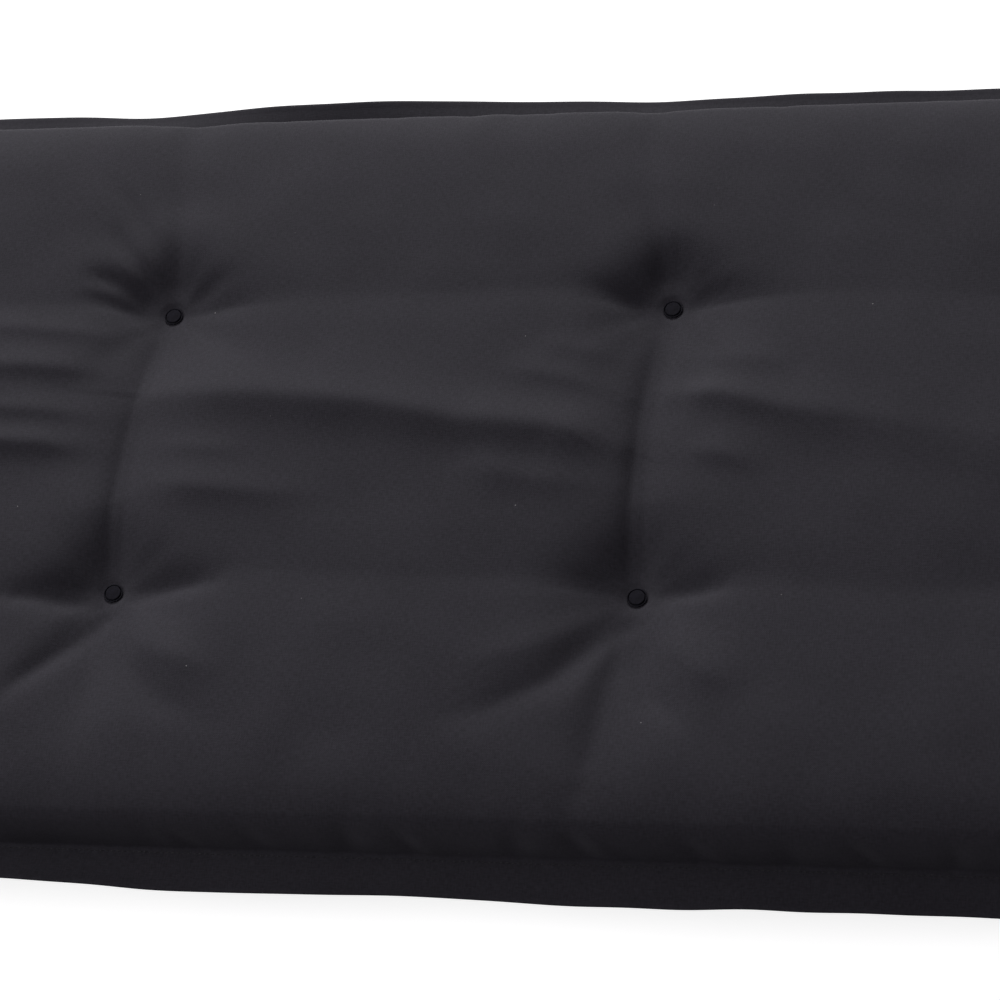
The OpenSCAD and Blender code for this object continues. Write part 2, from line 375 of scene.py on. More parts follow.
@dataclass(frozen=True)
class PadForm:
    """Heights of the mattress's two faces as functions of the place in plan, in millimetres."""

    sizes: PadSizes
    panel: float = 1.2
    foot: float = 1.0
    foot_ease: float = 9.0
    wall_roll: float = 12.0
    wall_fullness: float = 2.3
    wall_rise: float = 31.0
    shoulder_rise: float = 12.5
    shoulder: float = 24.0
    crown_rise: float = 10.0
    under_roll: float = 40.0
    under_fullness: float = 2.0
    under_bulge: float = 8.0
    under_fade: float = 16.0
    seat_r: float = 7.8
    pit_reach: float = 46.0
    pit_ease: float = 10.0
    pit_lean: float = 3.0
    pit_right: float = 0.8
    pit_tail: float = 0.3
    pit_square: tuple[float, float] = (1.05, 1.6)
    puff: float = 0.06
    pit_stretch: tuple[float, float] = (1.0, 2.4)
    pleat_share: float = 0.02
    rim_share: float = 0.12
    valley_pull: float = 0.42
    valley_widths: tuple[float, float] = (9.0, 24.0)
    valley_bow: float = 7.0
    valley_stop: float = 4.0
    crease: float = 0.26
    droop: float = 1.5

    def depths(self, x: Array, y: Array) -> tuple[Array, Array]:
        """Distances inside the seam along X and along Y, negative on the flange."""
        return self.sizes.half_l - np.abs(x), self.sizes.half_w - np.abs(y)

    def swell(self, x: Array, y: Array, width: float, fullness: float) -> Array:
        """Share of the full rise: the product of the rolls along both directions."""
        dx, dy = self.depths(x, y)
        return roll_share(dx, width, fullness) * roll_share(dy, width, fullness)

    def rise(self, x: Array, y: Array) -> Array:
        """Height of the full panel over the flange.

        A steep wall turns a tight crest into a shoulder, which climbs more and more gently. On top
        of both lies a crown, highest along the middle and between columns.
        """
        s = self.sizes
        dx, dy = (np.maximum(depth - self.foot, 0.0) for depth in self.depths(x, y))
        wall = self.wall(dx) * self.wall(dy)
        shoulder = (1.0 - np.exp(-dx / self.shoulder)) * (1.0 - np.exp(-dy / self.shoulder))
        across = np.sqrt(np.maximum(np.cos(0.5 * math.pi * np.clip(np.abs(y) / s.half_w, 0, 1)), 0.0))
        along = 0.86 - 0.14 * np.cos(2.0 * math.pi * (x - s.columns[0]) / s.pitch)
        lumps = 0.7 * drift(x, y, 190.0, 21) + 0.2 * drift(x, y, 55.0, 22)
        crown = self.crown_rise * across * along + lumps
        return self.wall_rise * wall + (self.shoulder_rise + crown) * shoulder

    def wall(self, depth: Array) -> Array:
        """Share of the wall's rise: a rolled edge whose foot is eased like the arm of a hyperbola."""
        ease = self.foot_ease / self.wall_rise
        rolled = roll_share(depth, self.wall_roll, self.wall_fullness)
        return (np.sqrt(rolled**2 + ease**2) - ease) / (math.sqrt(1.0 + ease**2) - ease)

    def from_tuft(self, x: Array, y: Array) -> Array:
        """Distance in plan to the nearest tuft's centre."""
        near = np.full(np.broadcast(x, y).shape, 1e9)
        for cx, cy in self.sizes.tufts():
            near = np.minimum(near, np.hypot(x - cx, y - cy))
        return near

    def ringed(self, x: Array, y: Array) -> tuple[Array, Array]:
        """Draws grid lines near each tuft into rings: squares round its centre become circles."""
        for cx, cy in self.sizes.tufts():
            square = np.maximum(np.abs(x - cx), np.abs(y - cy))
            blend = smooth_step((30.0 - square) / 16.0)
            scale = 1.0 + blend * (square / np.maximum(np.hypot(x - cx, y - cy), 1e-6) - 1.0)
            x, y = cx + (x - cx) * scale, cy + (y - cy) * scale
        return x, y

    def tuft_pull(self, x: Array, y: Array, fade: float) -> Array:
        """Share of the way to the seats: 1 on a seat, falling off exponentially from its rim."""
        return np.exp(-np.maximum(self.from_tuft(x, y) - self.seat_r, 0.0) / fade)

    def valley(self, x: Array, y: Array) -> Array:
        """Share drawn down along each column: a narrow groove that bows between its two tufts."""
        s = self.sizes
        inside = np.clip(np.abs(y) / s.row, 0.0, 1.0)
        past = np.maximum(np.abs(y) - s.row, 0.0) * np.where(y > 0.0, self.valley_stop, 1.0)
        drawn = np.zeros(np.broadcast(x, y).shape)
        for column in s.columns:
            off = x - column + self.valley_bow * np.cos(0.5 * math.pi * inside)
            width = np.where(off < 0.0, *self.valley_widths)
            off = np.sqrt(np.maximum(np.abs(off) - 4.5, 0.0) ** 2 + 2.0) - 1.4
            deeper = self.valley_pull * (0.7 + 0.7 * inside**4)
            drawn = np.maximum(drawn, deeper * np.exp(-off / width - past / 24.0))
        return drawn

    def pits(self, x: Array, y: Array) -> Array:
        """Share drawn down round the tufts.

        Each is a cone with an eased foot and a long tail, whose reach is longest along the row and
        the column, longer in front of the tuft than behind it, and a little pleated. At the
        button's rim the cloth turns up sharply. Round each pit the cloth puffs up in a ring.
        """
        drawn = np.zeros(np.broadcast(x, y).shape)
        puffed = np.zeros(drawn.shape)
        for k, (cx, cy) in enumerate(self.sizes.tufts()):
            rng = np.random.default_rng(60 + k)
            behind = np.maximum(y - cy, 0.0)
            aside = x - cx - self.pit_lean * (1.0 - np.exp(-behind / 10.0)) * np.exp(-behind / 60.0)
            r = np.hypot(x - cx, y - cy) + 1e-6
            across = np.abs(aside) / r * np.where(aside > 0.0, self.pit_right, 1.0)
            up = (y - cy) / r
            stretch = np.where(up > 0.0, *self.pit_stretch)
            power = np.where(up > 0.0, *self.pit_square)
            steep = (across**power + (np.abs(up) / stretch) ** power) ** (1.0 / power)
            angle = np.arctan2(y - cy, x - cx)
            pleats = sum(np.cos(n * angle + rng.uniform(0.0, 2.0 * math.pi)) for n in (3, 5, 7, 11))
            off = np.maximum(r - self.seat_r, 0.0) * (steep + self.pleat_share * pleats)
            cone = np.logaddexp(0.0, (self.pit_reach - off) / self.pit_ease) * self.pit_ease / self.pit_reach
            wide = cone + self.pit_tail * (np.exp(-off / 70.0) - np.exp(-off / 25.0))
            pit = (1.0 - self.rim_share) * wide + self.rim_share * np.exp(-off / 1.4)
            drawn = np.maximum(drawn, pit)
            share = 0.5 + 0.5 * (0.8 * up - 0.6 * (x - cx) / r)
            puffed = puffed + self.puff * share * np.exp(-(((r - 64.0) / 26.0) ** 2))
        return drawn - puffed

    def row_groove(self, x: Array, y: Array) -> Array:
        """Share drawn down along each row: wide and shallow, with a crease where it nears a tuft."""
        s = self.sizes
        aside = np.min([np.abs(x - column) for column in s.columns], axis=0)
        away = np.abs(y) - s.row + 5.0 * drift(x, y, 260.0, 23)
        crease = 0.04 + self.crease * np.exp(-aside / 55.0)
        return (crease * np.exp(-np.sqrt(away**2 + 36.0) / 16.0)
                + 0.18 * np.exp(-np.sqrt(away**2 + 600.0) / 50.0))

    def body_share(self, x: Array, y: Array) -> Array:
        """1 inside the seam and 0 on the flange, eased over the first few millimetres."""
        dx, dy = self.depths(x, y)
        return smooth_step(np.minimum(dx, dy) / 4.0)

    def flange_mid(self, x: Array, y: Array) -> Array:
        """Height of the plane between the panels: it waves and droops towards the flange's edge."""
        s = self.sizes
        out = np.maximum(np.maximum(np.abs(x) - s.half_l, np.abs(y) - s.half_w), 0.0) / s.flange
        wave = 0.7 * drift(x, y, 210.0, 11) + 0.3 * drift(x, y, 70.0, 12)
        for sign, waves in ((-1.0, FRONT_WAVES), (1.0, REAR_WAVES)):
            edge = smooth_step(sign * y / s.half_w)
            for place, lift, width in waves:
                wave = wave + edge * lift * np.exp(-(((x - place) / width) ** 2))
        return s.seam_z + out * wave - self.droop * out * out

    def flange_shift(self, x: Array, y: Array) -> tuple[Array, Array]:
        """In-plane wander of the flange's edge, added to x and y."""
        s = self.sizes
        wander = 0.8 * drift(x, y, 260.0, 13) + 0.3 * drift(x, y, 60.0, 14) - 0.5
        out_x = np.maximum(np.abs(x) - s.half_l, 0.0) / s.flange
        out_y = np.maximum(np.abs(y) - s.half_w, 0.0) / s.flange
        return np.sign(x) * out_x * wander, np.sign(y) * out_y * wander

    def flange_thickness(self, x: Array, y: Array) -> Array:
        """Half the flange's thickness: pressed down by the stitch line, and rounded off at the edge."""
        s = self.sizes
        out = np.maximum(np.abs(x) - s.half_l, np.abs(y) - s.half_w)
        edge = np.clip((s.flange - out) / 1.5, 0.0, 1.0)
        rounded = np.sqrt(1.0 - (1.0 - edge) ** 2)
        groove = 0.55 * np.exp(-(((out - 2.5) / 1.6) ** 2))
        ripple = 0.16 * drift(x, y, 12.0, 15) * np.exp(-(((out - 3.0) / 7.0) ** 2))
        roll = 0.55 * np.exp(-(((out - s.flange + 2.5) / 2.2) ** 2))
        return np.maximum((self.panel - groove + ripple + roll) * rounded, 0.12)

    def top(self, x: Array, y: Array) -> Array:
        """Height of the top face before folds: drawn down by the tufts and by the grooves between them."""
        full = self.flange_mid(x, y) + self.flange_thickness(x, y) + self.rise(x, y)
        dx, dy = self.depths(x, y)
        inner = smooth_step((np.minimum(dx, dy) - 10.0) / 60.0)
        grooves = (1.0 - self.valley(x, y) * inner) * (1.0 - self.row_groove(x, y) * inner)
        drawn = 1.0 - (1.0 - self.pits(x, y)) * grooves
        return full + (self.sizes.top_seat - 0.4 - full) * drawn * self.body_share(x, y)

    def under(self, x: Array, y: Array) -> Array:
        """Height of the under face: a bulge that the floor has flattened, drawn up by the tufts."""
        s = self.sizes
        base = self.flange_mid(x, y) - self.flange_thickness(x, y)
        lumps = 0.8 * drift(x, y, 130.0, 31)
        swell = self.swell(x, y, self.under_roll, self.under_fullness)
        full = base - (base + self.under_bulge + lumps) * swell
        pull = self.tuft_pull(x, y, self.under_fade) * self.body_share(x, y)
        return soft_max(full + (s.under_seat + 0.3 - full) * pull, 0.0, 2.0)


# ---------------------------------------------------------------------------------------------
# Meshes from grids
# ---------------------------------------------------------------------------------------------


def grid_quads(nx: int, ny: int, first: int, up: bool) -> Array:
    """Quads over a grid of nx by ny points whose first index is `first`, facing +Z if up."""
    i, j = np.meshgrid(np.arange(nx - 1), np.arange(ny - 1), indexing="ij")
    a = (first + i * ny + j).ravel()
    quads = np.column_stack([a, a + ny, a + ny + 1, a + 1])
    return quads if up else quads[:, ::-1]


def border_loop(nx: int, ny: int) -> Array:
    """Indices round a grid's border, anticlockwise seen from +Z."""
    i, j = np.arange(nx), np.arange(ny)
    return np.concatenate(
        [i[:-1] * ny, (nx - 1) * ny + j[:-1], i[:0:-1] * ny + ny - 1, j[:0:-1]]
    )


def mesh_object(name: str, points: Array, quads: Array, cloth: Array | None = None) -> bpy.types.Object:
    """Makes a smooth-shaded object at the origin from points in millimetres.

    Args:
        name: The piece's name.
        points: n by 3 places in millimetres.
        quads: m by 4 indices.
        cloth: n by 2 places on the flat cloth in millimetres, kept as the UV map in metres.

    Returns:
        The new object, linked to the scene.
    """
    mesh = bpy.data.meshes.new(name)
    mesh.vertices.add(len(points))
    mesh.vertices.foreach_set("co", (points * MM).astype(np.float32).ravel())
    mesh.loops.add(quads.size)
    mesh.loops.foreach_set("vertex_index", quads.astype(np.int32).ravel())
    mesh.polygons.add(len(quads))
    mesh.polygons.foreach_set("loop_start", np.arange(0, quads.size, 4, dtype=np.int32))
    if cloth is not None:
        layer = mesh.uv_layers.new(name="cloth")
        layer.data.foreach_set("uv", (cloth[quads.ravel()] * MM).astype(np.float32).ravel())
    mesh.update(calc_edges=True)
    mesh.shade_smooth()
    made = bpy.data.objects.new(name, mesh)
    bpy.context.scene.collection.objects.link(made)
    return made


def shell_object(name: str, outer: Array, inner: Array, cloth: Array, up: bool) -> bpy.types.Object:
    """Makes the closed shell between two grids of the same size.

    Args:
        name: The piece's name.
        outer: nx by ny by 3 places of the face that shows.
        inner: The same for the face behind it.
        cloth: nx by ny by 2 places on the flat cloth.
        up: Whether the outer face looks up.

    Returns:
        The new object.
    """
    nx, ny, _ = outer.shape
    n = nx * ny
    edge = border_loop(nx, ny)
    after = np.roll(edge, -1)
    rim = np.column_stack([after, edge, edge + n, after + n])
    quads = np.vstack(
        [grid_quads(nx, ny, 0, up), grid_quads(nx, ny, n, not up), rim if up else rim[:, ::-1]]
    )
    points = np.vstack([outer.reshape(n, 3), inner.reshape(n, 3)])
    return mesh_object(name, points, quads, np.vstack([cloth.reshape(n, 2)] * 2))


def surface_normals(points: Array) -> Array:
    """Unit normals of a grid: the cross product of its two gradients."""
    normals = np.cross(np.gradient(points, axis=0), np.gradient(points, axis=1))
    return normals / np.linalg.norm(normals, axis=2, keepdims=True)


def edge_lines(half: float, flange: float, depth: Array, height: Array,
               pitch: float) -> tuple[Array, Array]:
    """Grid lines across a panel, evenly spaced along the cloth.

    Over the flange and the middle the lines are evenly spaced in plan, and the middle line is one
    of them. Up the wall they are evenly spaced along its arc.

    Args:
        half: Distance from the middle to the seam.
        flange: Width of the flange.
        depth: Distances inside the seam, rising from 0, at which the wall's height is given.
        height: The wall's height at each.
        pitch: Distance between lines.

    Returns:
        The lines' places in plan, and their places on the flat cloth.
    """
    middle = pitch * np.arange(math.floor((half - depth[-1]) / pitch), -1, -1)
    inside = depth < half - middle[0] - 0.3 * pitch
    depth = np.append(depth[inside], half - middle[0])
    height = np.append(height[inside], height[inside][-1])
    arc = np.concatenate([[0.0], np.cumsum(np.hypot(np.diff(depth), np.diff(height)))])
    steps = np.linspace(0.0, arc[-1], max(6, round(arc[-1] / pitch)) + 1)
    rolled = np.interp(steps, arc, depth)
    edge = np.linspace(-flange, 0.0, round(flange / pitch) + 1)
    edge = np.sort(np.concatenate([edge, [-flange + 0.25, -flange + 0.9, -flange + 1.7]]))
    plan = np.concatenate([edge, rolled[1:], half - middle[1:]])
    cloth = np.concatenate([edge, steps[1:], steps[-1] + middle[0] - middle[1:]])
    place = plan - half
    flat = cloth - cloth[-1]
    return np.concatenate([place, -place[-2::-1]]), np.concatenate([flat, -flat[-2::-1]])


# ---------------------------------------------------------------------------------------------
# Finishes
# ---------------------------------------------------------------------------------------------


def linear(colour: str) -> tuple[float, float, float, float]:
    """Turns an sRGB hex colour such as "#38363c" into the linear RGBA that a shader takes."""
    parts = [int(colour[k : k + 2], 16) / 255.0 for k in (1, 3, 5)]
    line = [v / 12.92 if v <= 0.04045 else ((v + 0.055) / 1.055) ** 2.4 for v in parts]
    return (*line, 1.0)


def add_node(tree: bpy.types.NodeTree, kind: str, settings: dict | None = None,
             inputs: dict | None = None) -> bpy.types.Node:
    """Adds a node to a tree.

    Args:
        tree: The tree it goes into.
        kind: The node's type name.
        settings: Its properties and their values.
        inputs: Its input sockets, each with a value or with the socket that feeds it.

    Returns:
        The new node.
    """
    made = tree.nodes.new(kind)
    for key, value in (settings or {}).items():
        setattr(made, key, value)
    for key, value in (inputs or {}).items():
        socket = made.inputs[key]
        if isinstance(value, bpy.types.NodeSocket):
            tree.links.new(value, socket)
        else:
            socket.default_value = value
    return made


def blank_material(name: str) -> tuple[bpy.types.Material, bpy.types.NodeTree]:
    """A new material with an empty node tree."""
    made = bpy.data.materials.new(name)
    made.use_nodes = True
    made.node_tree.nodes.clear()
    return made, made.node_tree


@dataclass(frozen=True)
class WovenCanvas:
    """Dyed cotton canvas in plain weave: matt, with crossing threads of uneven thickness.

    The real threads lie 0.5 mm apart, too fine to show, so the weave is drawn 0.7 mm apart and the
    threads' uneven stretches a millimetre across.
    """

    name: str = "cotton_canvas_charcoal_woven"
    colour: str = "#1f1d23"
    thread_colour: str = "#2e2c33"
    lint_colour: str = "#8f8d8e"
    pitch_mm: float = 0.7
    slub_mm: tuple[float, float] = (1.0, 5.0)
    wander_mm: float = 0.8
    depth_mm: float = 0.06
    roughness: float = 0.88
    specular: float = 0.25
    sheen: float = 0.06
    lint_gap_mm: float = 180.0
    lint_share: float = 0.0025

    def slubs(self, tree: bpy.types.NodeTree, place: bpy.types.NodeSocket,
              along: int) -> bpy.types.NodeSocket:
        """Uneven threads that run along one direction of the cloth: noise stretched along them."""
        across_mm, along_mm = self.slub_mm
        size = [1.0 / (across_mm * MM)] * 3
        size[along] = 1.0 / (along_mm * MM)
        scaled = add_node(tree, "ShaderNodeMapping", {"vector_type": "POINT"},
                          {"Vector": place, "Scale": size, "Location": (7.0 * along, 3.0, 0.0)})
        return add_node(tree, "ShaderNodeTexNoise", {"noise_dimensions": "2D"},
                        {"Vector": scaled.outputs[0], "Scale": 1.0, "Detail": 1.5}).outputs["Fac"]

    def weave(self, tree: bpy.types.NodeTree, place: bpy.types.NodeSocket) -> bpy.types.NodeSocket:
        """Crossing threads: the product of two sines, on a map that wanders as real threads do."""
        wander = add_node(tree, "ShaderNodeTexNoise", {"noise_dimensions": "2D"},
                          {"Vector": place, "Scale": 120.0, "Detail": 1.0}).outputs["Color"]
        moved = add_node(tree, "ShaderNodeVectorMath", {"operation": "MULTIPLY_ADD"},
                         {0: wander, 1: [self.wander_mm * MM] * 3, 2: place}).outputs[0]
        parts = add_node(tree, "ShaderNodeSeparateXYZ", inputs={"Vector": moved})
        waves = []
        for axis in ("X", "Y"):
            turn = add_node(tree, "ShaderNodeMath", {"operation": "MULTIPLY"},
                            {0: parts.outputs[axis], 1: math.pi / (self.pitch_mm * MM)}).outputs[0]
            waves.append(add_node(tree, "ShaderNodeMath", {"operation": "SINE"}, {0: turn}).outputs[0])
        return add_node(tree, "ShaderNodeMath", {"operation": "MULTIPLY"},
                        {0: waves[0], 1: waves[1]}).outputs[0]

    def lint(self, tree: bpy.types.NodeTree, place: bpy.types.NodeSocket) -> bpy.types.NodeSocket:
        """A few caught fibres: the very middles of wide cells, each a small share of its cell across."""
        cells = add_node(tree, "ShaderNodeTexVoronoi", {"voronoi_dimensions": "2D"},
                         {"Vector": place, "Scale": 1.0 / (self.lint_gap_mm * MM)})
        close = add_node(tree, "ShaderNodeMath", {"operation": "LESS_THAN"},
                         {0: cells.outputs["Distance"], 1: self.lint_share}).outputs[0]
        return add_node(tree, "ShaderNodeMath", {"operation": "MULTIPLY"},
                        {0: close, 1: cells.outputs["Color"]}).outputs[0]

    def material(self) -> bpy.types.Material:
        """Builds the cloth on its own flat map: threads colour it and raise it, lint dots it."""
        made, tree = blank_material(self.name)
        place = add_node(tree, "ShaderNodeUVMap", {"uv_map": "cloth"}).outputs["UV"]
        weave = self.weave(tree, place)
        threads = add_node(tree, "ShaderNodeMath", {"operation": "ADD"},
                           {0: self.slubs(tree, place, 0), 1: self.slubs(tree, place, 1)}).outputs[0]
        mottle = add_node(tree, "ShaderNodeTexNoise", {"noise_dimensions": "2D"},
                          {"Vector": place, "Scale": 22.0, "Detail": 3.0}).outputs["Fac"]
        tone = add_node(tree, "ShaderNodeMath", {"operation": "MULTIPLY_ADD"},
                        {0: weave, 1: 0.15, 2: threads}).outputs[0]
        tone = add_node(tree, "ShaderNodeMath", {"operation": "MULTIPLY_ADD"},
                        {0: mottle, 1: 0.3, 2: tone}).outputs[0]
        tone = add_node(tree, "ShaderNodeMath", {"operation": "SUBTRACT", "use_clamp": True},
                        {0: tone, 1: 0.65}).outputs[0]
        cloth = add_node(tree, "ShaderNodeMix", {"data_type": "RGBA"},
                         {"Factor": tone, "A": linear(self.colour), "B": linear(self.thread_colour)})
        colour = add_node(tree, "ShaderNodeMix", {"data_type": "RGBA"},
                          {"Factor": self.lint(tree, place), "A": cloth.outputs["Result"],
                           "B": linear(self.lint_colour)})
        relief = add_node(tree, "ShaderNodeMath", {"operation": "MULTIPLY_ADD"},
                          {0: weave, 1: 0.35, 2: threads}).outputs[0]
        bump = add_node(tree, "ShaderNodeBump", inputs={
            "Height": relief, "Strength": 1.0, "Distance": self.depth_mm * MM}).outputs[0]
        surface = add_node(tree, "ShaderNodeBsdfPrincipled", inputs={
            "Base Color": colour.outputs["Result"], "Roughness": self.roughness, "Normal": bump,
            "Specular IOR Level": self.specular, "Sheen Weight": self.sheen, "Sheen Roughness": 0.45,
            "Sheen Tint": linear("#d8d6e0")})
        add_node(tree, "ShaderNodeOutputMaterial", inputs={"Surface": surface.outputs[0]})
        return made


@dataclass(frozen=True)
class FibreFinish:
    """A matt material of loose or twisted fibres, mottled and softly uneven.

    Covers sewing thread, flax twine, spun wadding and open-cell foam, each by its own grain size.
    """

    name: str
    colour: str
    shade: str
    grain_mm: float
    depth_mm: float
    roughness: float = 0.9
    sheen: float = 0.1

    def material(self) -> bpy.types.Material:
        """Builds the finish: noise at the grain's size colours it and raises it."""
        made, tree = blank_material(self.name)
        place = add_node(tree, "ShaderNodeTexCoord").outputs["Object"]
        grain = add_node(tree, "ShaderNodeTexNoise", inputs={
            "Vector": place, "Scale": 1.0 / (self.grain_mm * MM), "Detail": 4.0,
            "Roughness": 0.6}).outputs["Fac"]
        colour = add_node(tree, "ShaderNodeMix", {"data_type": "RGBA"},
                          {"Factor": grain, "A": linear(self.shade), "B": linear(self.colour)})
        bump = add_node(tree, "ShaderNodeBump", inputs={
            "Height": grain, "Strength": 0.8, "Distance": self.depth_mm * MM}).outputs[0]
        surface = add_node(tree, "ShaderNodeBsdfPrincipled", inputs={
            "Base Color": colour.outputs["Result"], "Roughness": self.roughness, "Normal": bump,
            "Sheen Weight": self.sheen, "Specular IOR Level": 0.3})
        add_node(tree, "ShaderNodeOutputMaterial", inputs={"Surface": surface.outputs[0]})
        return made


@dataclass(frozen=True)
class ZincPlate:
    """Zinc-plated pressed steel: dull metal with a faint spangle."""

    name: str = "zinc_plated_steel_pressed"
    colour: str = "#b4b7bc"
    spangle_mm: float = 1.5

    def material(self) -> bpy.types.Material:
        """Builds the plate: cells of crystal size vary its roughness."""
        made, tree = blank_material(self.name)
        place = add_node(tree, "ShaderNodeTexCoord").outputs["Object"]
        cells = add_node(tree, "ShaderNodeTexVoronoi", inputs={
            "Vector": place, "Scale": 1.0 / (self.spangle_mm * MM)}).outputs["Distance"]
        rough = add_node(tree, "ShaderNodeMapRange", inputs={
            "Value": cells, "To Min": 0.35, "To Max": 0.5}).outputs[0]
        surface = add_node(tree, "ShaderNodeBsdfPrincipled", inputs={
            "Base Color": linear(self.colour), "Metallic": 1.0, "Roughness": rough})
        add_node(tree, "ShaderNodeOutputMaterial", inputs={"Surface": surface.outputs[0]})
        return made


CANVAS = WovenCanvas()
# The buttons' cloth is the canvas made darker, as painted shade of the pits the buttons sit in; it also has
# less specular and no sheen.
BUTTON_CLOTH_PAINTED_SHADE = WovenCanvas(name="cotton_canvas_charcoal_painted_shade", colour="#18171b",
                           thread_colour="#222128", specular=0.05, sheen=0.0)
SEWING_THREAD = FibreFinish("polyester_thread_twisted", "#2e2c32", "#1d1c20", 0.4, 0.05)
FLAX_TWINE = FibreFinish("flax_twine_waxed", "#d6cfbd", "#b3a98f", 0.5, 0.1, roughness=0.6)
SPUN_WADDING = FibreFinish("cotton_wadding_carded", "#ebe8df", "#d9d5c9", 6.0, 1.5, sheen=0.3)
OPEN_FOAM = FibreFinish("polyurethane_foam_cut", "#e6d69a", "#cdb978", 1.2, 0.4)
ZINC = ZincPlate()


def dress(piece: bpy.types.Object, material: bpy.types.Material) -> None:
    """Gives a piece one material all over."""
    piece.data.materials.clear()
    piece.data.materials.append(material)


# ---------------------------------------------------------------------------------------------
# Sub-assemblies
# ---------------------------------------------------------------------------------------------


@dataclass
class CoverPanel:
    """One panel of the cover, from the flange's outer edge up or down over the filling."""

    form: PadForm
    side: Side
    node: str
    name: str
    pitch: float
    thickness: float = 1.0
    folds: list[Fold] = field(default_factory=list)
    gathers: Gathers = field(default_factory=lambda: Gathers(seed=40))
    skin: Array | None = None

    def lines(self) -> tuple[tuple[Array, Array], tuple[Array, Array]]:
        """Grid lines along and across the panel, in plan and on the flat cloth, some through each tuft."""
        s, f = self.form.sizes, self.form
        depth = 48.0 * np.linspace(0.0, 1.0, 4000) ** 2
        if self.side is Side.TOP:
            height = f.wall_rise * f.wall(np.maximum(depth - f.foot, 0.0))
        else:
            height = s.seam_z * roll_share(depth, f.under_roll, f.under_fullness)
        pitches = (s.pitch / round(s.pitch / self.pitch), s.row / round(s.row / self.pitch))
        return tuple(edge_lines(half, s.flange, depth, height, pitch)
                     for half, pitch in zip((s.half_l, s.half_w), pitches))

    def relief(self, x: Array, y: Array, u: Array, v: Array) -> Array:
        """Folds and gathers, as height added along the normal.

        Ridges add up. Where grooves meet, the deepest decides, eased by a sum of cubes.

        Args:
            x: Places along the mattress, in millimetres.
            y: Places across it.
            u: Places along the flat cloth.
            v: Places across the flat cloth.

        Returns:
            The added height, 0 on the flange.
        """
        s = self.form.sizes
        seam_u = np.interp(s.half_l, x[:, 0], u[:, 0])
        seam_v = np.interp(s.half_w, y[0], v[0])
        ridges, grooves = np.zeros(x.shape), np.zeros(x.shape)
        for fold in self.folds:
            share = fold.relief(x, y)
            ridges += np.maximum(share, 0.0)
            grooves += np.maximum(-share, 0.0) ** 3
        added = (ridges - np.cbrt(grooves)) * smooth_step((self.form.from_tuft(x, y) - 8.0) / 18.0)
        sides = ((x, seam_v + v, s.half_l), (x, seam_v - v, s.half_l),
                 (y, seam_u + u, s.half_w), (y, seam_u - u, s.half_w))
        for step, (along, up, half) in enumerate(sides):
            near = (up > 0.0) & (up < 90.0)
            added[near] += self.gathers.relief(along[near], up[near], half, step)
        return added * self.form.body_share(x, y)

    def surface(self) -> tuple[Array, Array, Array]:
        """The panel's outer face, its inner face and its places on the flat cloth, as grids."""
        (xs, us), (ys, vs) = self.lines()
        x, y = self.form.ringed(*np.meshgrid(xs, ys, indexing="ij"))
        u, v = np.meshgrid(us, vs, indexing="ij")
        height = self.form.top(x, y) if self.side is Side.TOP else self.form.under(x, y)
        shift_x, shift_y = self.form.flange_shift(x, y)
        outer = np.stack([x + shift_x, y + shift_y, height], axis=2)
        normals = surface_normals(outer) * self.side.value
        outer = outer + normals * self.relief(x, y, u, v)[:, :, None]
        if self.side is Side.UNDER:
            outer[:, :, 2] = np.maximum(outer[:, :, 2], 0.0)
        body = self.form.body_share(x, y)[:, :, None]
        inner = outer - surface_normals(outer) * self.side.value * self.thickness
        flange = outer.copy()
        flange[:, :, 2] = self.form.flange_mid(x, y) + 0.05 * self.side.value
        return outer, inner * body + flange * (1.0 - body), np.stack([u, v], axis=2)

    def build(self) -> bpy.types.Object:
        """Makes the panel, dresses it and seats it on the frame."""
        outer, inner, cloth = self.surface()
        self.skin = outer
        piece = shell_object(self.name, outer, inner, cloth, up=self.side is Side.TOP)
        dress(piece, CANVAS.material())
        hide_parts(self.node)
        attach(piece, "root")
        LOG.info("%s: %d faces", self.name, len(piece.data.polygons))
        return piece


